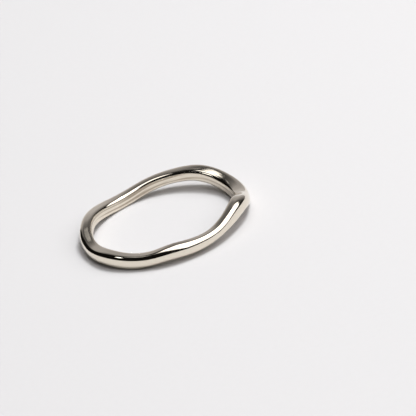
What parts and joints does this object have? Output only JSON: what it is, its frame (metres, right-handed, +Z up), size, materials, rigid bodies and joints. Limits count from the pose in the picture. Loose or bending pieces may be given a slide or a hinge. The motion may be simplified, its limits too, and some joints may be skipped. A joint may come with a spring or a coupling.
{
  "type": "stackable ring",
  "caption": "Slim finger ring in polished silver, a soft square band that rises and dips in a wave round a round finger hole.",
  "frame": {"origin": "on the surface that the ring lies on, at the middle of its outline", "axes": "+Z up along the finger hole's axis, +X towards the thick side of the band with the deepest bend"},
  "size_m": [0.0206, 0.0204, 0.003],
  "materials": {
    "silver": "polished silver, slightly warm, with fine polishing lines in the finger hole"
  },
  "bodies": {
    "root": {"ring_band": "silver"}
  },
  "joints": []
}
